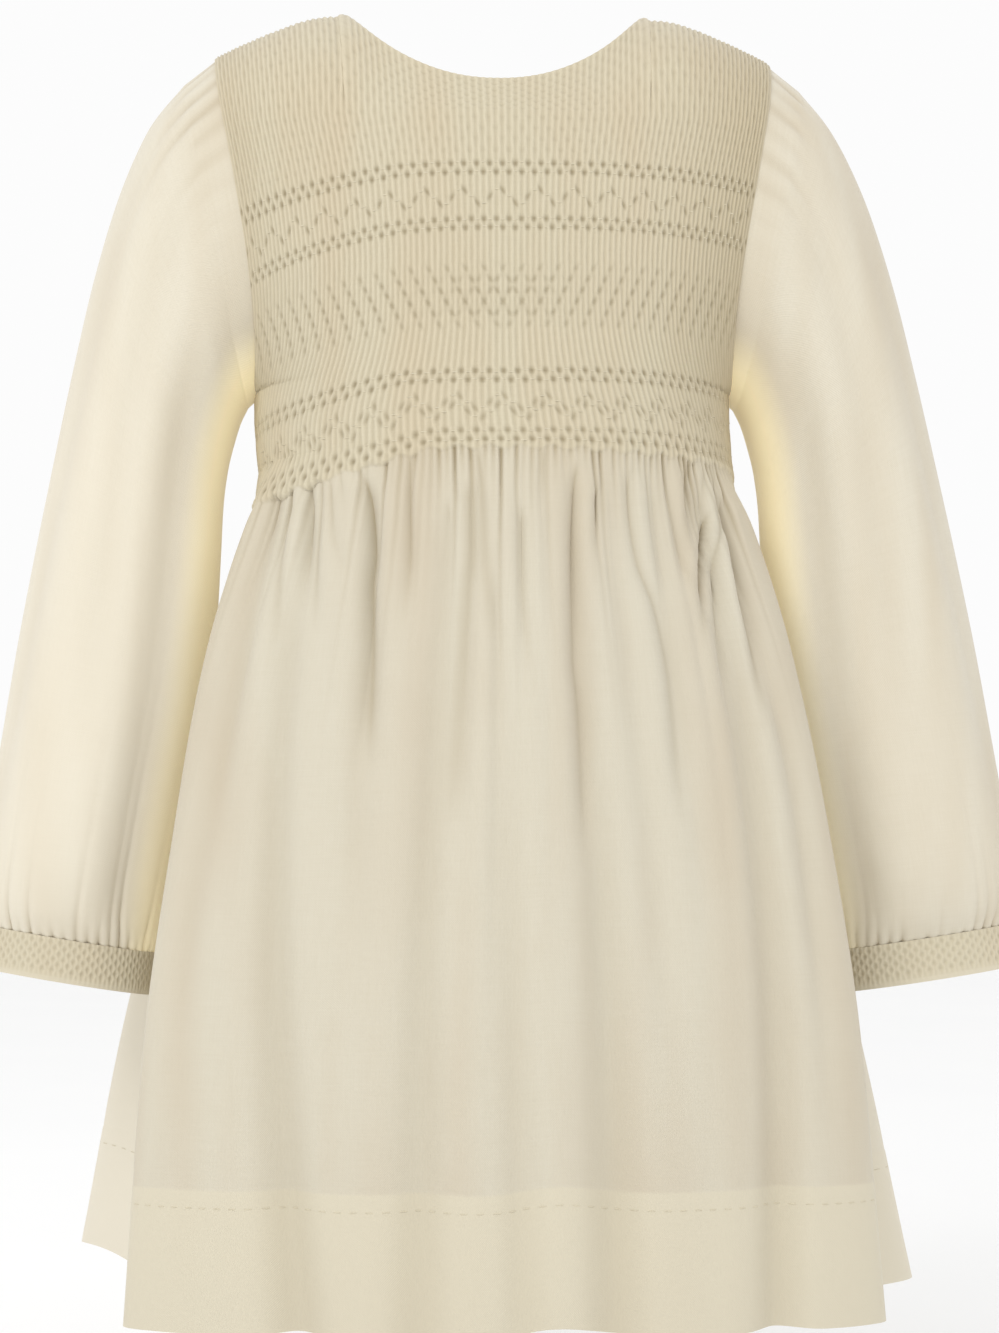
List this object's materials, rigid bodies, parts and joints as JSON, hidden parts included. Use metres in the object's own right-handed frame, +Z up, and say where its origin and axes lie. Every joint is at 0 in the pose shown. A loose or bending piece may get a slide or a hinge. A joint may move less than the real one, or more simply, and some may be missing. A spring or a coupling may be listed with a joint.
{
  "type": "smocked dress",
  "caption": "Child's long-sleeved cotton dress, hanging open and filled out: smocked front from neck to waist, gathered skirt, smocked cuffs and a buttoned back.",
  "frame": {"origin": "midway between the two neck points, at the top of the shoulder line, where the wearer's shoulders hold the dress up", "axes": "+X to the right seen from the front (the wearer's left), -Y out of the front, +Z up"},
  "size_m": [0.4845, 0.2403, 0.5985],
  "materials": {
    "smocked_cotton": "fine ivory cotton gathered into close pleats and stitched in matching thread",
    "plain_cotton": "fine plain-woven ivory cotton, matt and slightly sheer",
    "shell_button": "pale shell with a soft gloss"
  },
  "bodies": {
    "root": {"front": "smocked_cotton", "back_bodice_left": "plain_cotton", "back_bodice_right": "plain_cotton", "back_skirt": "plain_cotton", "sleeve_left": "plain_cotton", "sleeve_right": "plain_cotton", "cuff_left": "smocked_cotton", "cuff_right": "smocked_cotton", "button_1": "shell_button", "button_2": "shell_button", "button_3": "shell_button", "button_4": "shell_button"}
  },
  "joints": []
}
